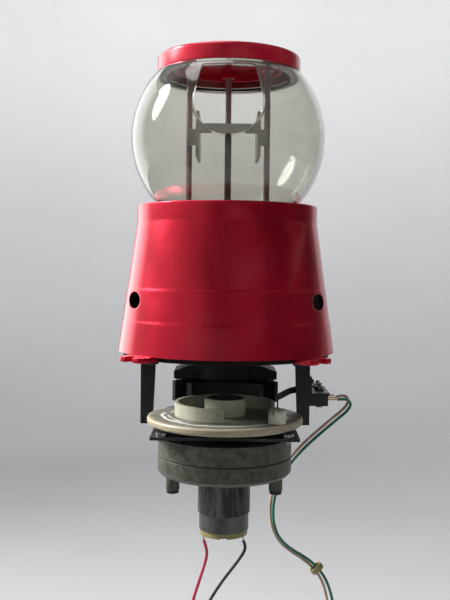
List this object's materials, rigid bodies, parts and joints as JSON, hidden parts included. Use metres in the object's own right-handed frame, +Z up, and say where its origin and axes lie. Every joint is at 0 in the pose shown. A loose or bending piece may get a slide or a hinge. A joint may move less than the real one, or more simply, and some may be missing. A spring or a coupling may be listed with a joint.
{
  "type": "gumball machine",
  "caption": "Motor-driven gumball-style ball dispenser: red lid and base, clear globe with rod cage, star-wheel indexer, gearmotor, limit switch and wire leads.",
  "frame": {"origin": "on the globe's axis, in the plane of the panel that the housing's tabs stand on", "axes": "+Z up along the globe's axis, +X to the right and +Y away from the viewer who faces the drive disc"},
  "size_m": [0.1194, 0.1094, 0.351],
  "materials": {
    "red_plastic": "gloss",
    "clear_plastic": "clear, slightly cloudy",
    "rod_steel": "dull plated wire",
    "dark_plate": "satin black",
    "zinc_screw": "bright plated",
    "white_plastic": "satin",
    "black_plastic": "matt moulded",
    "shaft_steel": "ground",
    "ivory_plastic": "worn, satin",
    "black_steel": "satin black",
    "cast_zinc": "as cast, dull",
    "gasket": "matt",
    "bronze": "dull",
    "iron": "matt",
    "copper": "enamelled",
    "motor_steel": "plated sheet",
    "cap_plastic": "satin, yellowed",
    "switch_plastic": "satin",
    "red_wire": "satin",
    "black_wire": "satin",
    "green_wire": "satin",
    "tan_wire": "satin",
    "plug_plastic": "satin"
  },
  "bodies": {
    "base": {"housing": "red_plastic", "globe": "clear_plastic", "left_rod": "rod_steel", "right_rod": "rod_steel", "back_rod": "rod_steel", "front_rod": "rod_steel", "cage_bracket": "rod_steel", "base_plate": "dark_plate", "base_screws": "zinc_screw", "ball_funnel": "white_plastic", "funnel_posts": "zinc_screw", "turret_shroud": "black_plastic", "bearing_block": "black_plastic", "left_leg": "black_steel", "right_leg": "black_steel", "plate_screws": "zinc_screw", "motor_plate": "dark_plate", "gearbox_cover": "cast_zinc", "gearbox_gasket": "gasket", "gearbox_case": "cast_zinc", "case_screws": "zinc_screw", "output_bushing": "bronze", "idler_pins": "shaft_steel", "motor_magnets": "iron", "motor_can": "motor_steel", "flux_ring": "motor_steel", "motor_bushings": "bronze", "motor_end_cap": "cap_plastic", "brush_terminals": "bronze", "motor_screws": "zinc_screw", "switch_bracket": "black_steel", "switch_body": "switch_plastic", "switch_screws": "zinc_screw", "switch_terminals": "bronze", "red_lead": "red_wire", "black_lead": "black_wire", "green_lead": "green_wire", "tan_lead": "tan_wire", "lead_tie": "cap_plastic", "motor_plug": "plug_plastic", "switch_plug": "plug_plastic"},
    "lid": {"lid": "red_plastic"},
    "drive": {"drive_disc": "ivory_plastic", "drive_pin": "ivory_plastic", "grub_screw": "zinc_screw", "output_shaft": "shaft_steel", "output_gear": "shaft_steel"},
    "first_idler": {"first_idler_gear": "bronze"},
    "second_idler": {"second_idler_gear": "bronze"},
    "rotor": {"motor_pinion": "bronze", "motor_shaft": "shaft_steel", "armature_core": "iron", "armature_windings": "copper", "commutator": "copper"},
    "indexer": {"star_wheel": "black_plastic", "star_retainer": "zinc_screw", "turret_shaft": "shaft_steel", "ball_turret": "white_plastic"},
    "lever": {"switch_lever": "black_steel"},
    "plunger": {"switch_plunger": "red_plastic"}
  },
  "joints": [
    {"name": "lid_lift", "type": "slide", "parent": "base", "child": "lid", "axis": [0, 0, 1], "range_m": [0, 0.06]},
    {"name": "motor_turn", "type": "hinge", "parent": "base", "child": "rotor", "pos_m": [0, -0.0225, -0.064], "axis": [0, 0, 1], "range_deg": [-2106, 4698]},
    {"name": "first_idler_turn", "type": "hinge", "parent": "base", "child": "first_idler", "pos_m": [0.0072, -0.01003, -0.047], "axis": [0, 0, 1], "continuous": true},
    {"name": "second_idler_turn", "type": "hinge", "parent": "base", "child": "second_idler", "pos_m": [-0.0072, -0.01003, -0.044], "axis": [0, 0, 1], "continuous": true},
    {"name": "drive_turn", "type": "hinge", "parent": "base", "child": "drive", "pos_m": [0, -0.0225, -0.028], "axis": [0, 0, 1], "range_deg": [-175, 79]},
    {"name": "star_turn", "type": "hinge", "parent": "base", "child": "indexer", "pos_m": [0, 0.0215, -0.01], "axis": [0, 0, 1], "range_deg": [-0.5, 0.5]},
    {"name": "lever_swing", "type": "hinge", "parent": "base", "child": "lever", "pos_m": [0.0408, 0.0256, -0.0236], "axis": [0, 0, 1], "range_deg": [0, 1.5], "stiffness_Nm_per_rad": 0.03, "springref_deg": -1.15},
    {"name": "plunger_press", "type": "slide", "parent": "base", "child": "plunger", "axis": [1, 0, 0], "range_m": [0, 0.00028]}
  ],
  "couplings": [
    {"joint": "first_idler_turn", "follows": "motor_turn", "ratio": -0.33333},
    {"joint": "second_idler_turn", "follows": "motor_turn", "ratio": 0.11111},
    {"joint": "drive_turn", "follows": "motor_turn", "ratio": -0.037037},
    {"joint": "plunger_press", "follows": "lever_swing", "m_per_rad": 0.0105}
  ]
}
